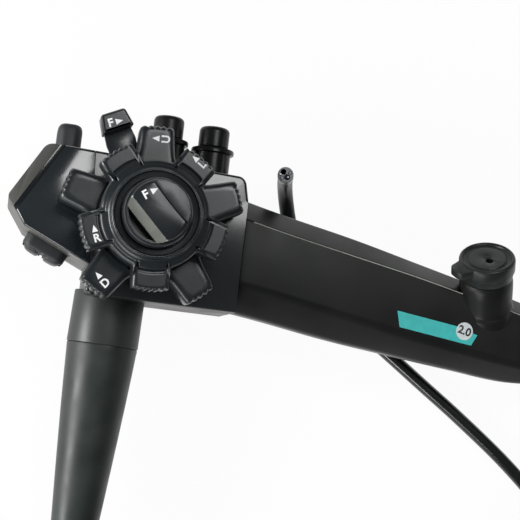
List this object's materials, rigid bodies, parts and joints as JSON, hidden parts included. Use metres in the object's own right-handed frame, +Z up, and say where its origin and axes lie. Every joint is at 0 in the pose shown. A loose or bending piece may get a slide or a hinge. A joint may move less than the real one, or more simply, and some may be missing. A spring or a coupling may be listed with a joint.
{
  "type": "flexible endoscope",
  "caption": "Slim flexible endoscope: control head with angulation knobs and valves, grip with instrument inlet, coiled insertion tube with jointed tip, umbilical and connector.",
  "frame": {"origin": "foot of the knob axis on the flat back of the control head", "axes": "+X along the grip towards the insertion tube, +Y towards the valves, +Z up the knob axis"},
  "size_m": [0.3172, 0.331, 0.0808],
  "materials": {
    "bearing_brass": "turned",
    "black_insertion_jacket": "glossy black jacket",
    "black_umbilical_jacket": "satin black jacket",
    "brake_lining": "dull lining",
    "charcoal_knob": "satin charcoal",
    "gloss_black_valve": "gloss brown-black",
    "grey_green_boot_rubber": "matt grey-green black",
    "grey_tip_resin": "grey resin",
    "optical_glass": "polished",
    "satin_black_grip": "satin black, slightly glossy",
    "satin_black_housing": "satin black",
    "satin_grey_cover": "satin dark grey",
    "satin_steel": "satin",
    "soft_black_rubber": "matt black"
  },
  "bodies": {
    "control_body": {"air_pipe": "satin_steel", "air_water_cylinder": "gloss_black_valve", "bearing_sleeve": "bearing_brass", "bending_base": "satin_steel", "centre_post": "satin_steel", "connector_body": "satin_black_housing", "connector_boot": "soft_black_rubber", "end_cover": "satin_grey_cover", "frame_plate": "satin_steel", "grip_end_ring": "satin_steel", "grip_shell": "satin_black_grip", "head_shell": "satin_black_housing", "inlet_housing": "satin_black_housing", "inlet_port": "satin_steel", "inlet_seal": "soft_black_rubber", "insertion_boot": "soft_black_rubber", "insertion_coil": "black_insertion_jacket", "insertion_tube_far": "black_insertion_jacket", "insertion_tube_near": "black_insertion_jacket", "light_guide_prong": "satin_steel", "suction_cylinder": "gloss_black_valve", "suction_nipple": "satin_steel", "umbilical_boot": "grey_green_boot_rubber", "umbilical_cable": "black_umbilical_jacket", "umbilical_coil": "black_umbilical_jacket", "umbilical_collar": "satin_black_housing", "umbilical_tail": "black_umbilical_jacket", "video_socket": "satin_steel"},
    "ud_knob": {"ud_knob": "charcoal_knob", "ud_shaft": "satin_steel", "ud_drum": "bearing_brass"},
    "ud_lock": {"ud_lock_lever": "charcoal_knob", "ud_brake_disc": "brake_lining"},
    "rl_knob": {"rl_knob": "charcoal_knob", "rl_shaft": "satin_steel", "rl_drum": "bearing_brass"},
    "rl_lock": {"rl_lock_knob": "charcoal_knob", "rl_brake_disc": "brake_lining"},
    "air_water_valve": {"air_water_button": "gloss_black_valve", "air_water_spring": "satin_steel"},
    "suction_valve": {"suction_button": "gloss_black_valve", "suction_spring": "satin_steel"},
    "front_switch": {"front_switch": "soft_black_rubber"},
    "rear_switch_upper": {"rear_switch_upper": "soft_black_rubber"},
    "rear_switch_lower": {"rear_switch_lower": "soft_black_rubber"},
    "link_1": {"bending_link_1": "satin_steel"},
    "link_2": {"bending_link_2": "satin_steel"},
    "link_3": {"bending_link_3": "satin_steel"},
    "link_4": {"bending_link_4": "satin_steel"},
    "link_5": {"bending_link_5": "satin_steel"},
    "link_6": {"bending_link_6": "satin_steel"},
    "link_7": {"bending_link_7": "satin_steel"},
    "link_8": {"bending_link_8": "satin_steel", "distal_head": "grey_tip_resin", "objective_lens": "optical_glass", "light_lens_left": "optical_glass", "light_lens_right": "optical_glass", "air_water_nozzle": "satin_steel"}
  },
  "joints": [
    {"name": "ud_angulation", "type": "hinge", "parent": "control_body", "child": "ud_knob", "pos_m": [0, 0, 0.042], "axis": [0, 0, 1], "range_deg": [-17.68, 126.7]},
    {"name": "rl_angulation", "type": "hinge", "parent": "control_body", "child": "rl_knob", "pos_m": [0, 0, 0.042], "axis": [0, 0, 1], "range_deg": [-65.28, 20.04]},
    {"name": "ud_lock_turn", "type": "hinge", "parent": "control_body", "child": "ud_lock", "pos_m": [0, 0, 0.042], "axis": [0, 0, 1], "range_deg": [-60, 0]},
    {"name": "rl_lock_turn", "type": "hinge", "parent": "control_body", "child": "rl_lock", "pos_m": [0, 0, 0.042], "axis": [0, 0, 1], "range_deg": [-75, 0]},
    {"name": "air_water_valve_press", "type": "slide", "parent": "control_body", "child": "air_water_valve", "axis": [0.1736, -0.9848, 0], "range_m": [0, 0.0024], "stiffness_N_per_m": 250, "springref_m": -0.003, "deforming": ["air_water_spring"]},
    {"name": "suction_valve_press", "type": "slide", "parent": "control_body", "child": "suction_valve", "axis": [0.1736, -0.9848, 0], "range_m": [0, 0.0024], "stiffness_N_per_m": 250, "springref_m": -0.003, "deforming": ["suction_spring"]},
    {"name": "front_switch_press", "type": "slide", "parent": "control_body", "child": "front_switch", "axis": [0.1736, -0.9848, 0], "range_m": [0, 0.0008], "stiffness_N_per_m": 400, "springref_m": -0.002},
    {"name": "rear_switch_upper_press", "type": "slide", "parent": "control_body", "child": "rear_switch_upper", "axis": [0.2464, 0.9692, 0], "range_m": [0, 0.0008], "stiffness_N_per_m": 400, "springref_m": -0.002},
    {"name": "rear_switch_lower_press", "type": "slide", "parent": "control_body", "child": "rear_switch_lower", "axis": [0.2464, 0.9692, 0], "range_m": [0, 0.0008], "stiffness_N_per_m": 400, "springref_m": -0.002},
    {"name": "bend_1", "type": "hinge", "parent": "control_body", "child": "link_1", "pos_m": [0.0564, 0.0219, 0.00275], "axis": [-0.8404, -0.4931, 0.225], "range_deg": [-10.25, 72.55]},
    {"name": "bend_2", "type": "hinge", "parent": "link_1", "child": "link_2", "pos_m": [0.05497, 0.02487, 0.00391], "axis": [0.3547, -0.1865, 0.9162], "range_deg": [-37.45, 11.6]},
    {"name": "bend_3", "type": "hinge", "parent": "link_2", "child": "link_3", "pos_m": [0.05317, 0.0276, 0.00516], "axis": [-0.7815, -0.597, 0.181], "range_deg": [-10.25, 72.55]},
    {"name": "bend_4", "type": "hinge", "parent": "link_3", "child": "link_4", "pos_m": [0.0519, 0.02995, 0.00743], "axis": [0.5082, -0.441, 0.7398], "range_deg": [-37.45, 11.6]},
    {"name": "bend_5", "type": "hinge", "parent": "link_4", "child": "link_5", "pos_m": [0.0503, 0.03201, 0.00976], "axis": [-0.7292, -0.6774, 0.0972], "range_deg": [-10.25, 72.55]},
    {"name": "bend_6", "type": "hinge", "parent": "link_5", "child": "link_6", "pos_m": [0.0494, 0.03342, 0.01283], "axis": [0.6338, -0.6151, 0.469], "range_deg": [-37.45, 11.6]},
    {"name": "bend_7", "type": "hinge", "parent": "link_6", "child": "link_7", "pos_m": [0.04818, 0.03452, 0.01592], "axis": [-0.6905, -0.7231, -0.0152], "range_deg": [-10.25, 72.55]},
    {"name": "bend_8", "type": "hinge", "parent": "link_7", "child": "link_8", "pos_m": [0.04779, 0.03483, 0.01939], "axis": [0.7146, -0.6853, 0.1404], "range_deg": [-37.45, 11.6]}
  ],
  "couplings": [
    {"joint": "bend_1", "follows": "ud_angulation", "ratio": 0.57143},
    {"joint": "bend_2", "follows": "rl_angulation", "ratio": 0.57143},
    {"joint": "bend_3", "follows": "ud_angulation", "ratio": 0.57143},
    {"joint": "bend_4", "follows": "rl_angulation", "ratio": 0.57143},
    {"joint": "bend_5", "follows": "ud_angulation", "ratio": 0.57143},
    {"joint": "bend_6", "follows": "rl_angulation", "ratio": 0.57143},
    {"joint": "bend_7", "follows": "ud_angulation", "ratio": 0.57143},
    {"joint": "bend_8", "follows": "rl_angulation", "ratio": 0.57143}
  ]
}
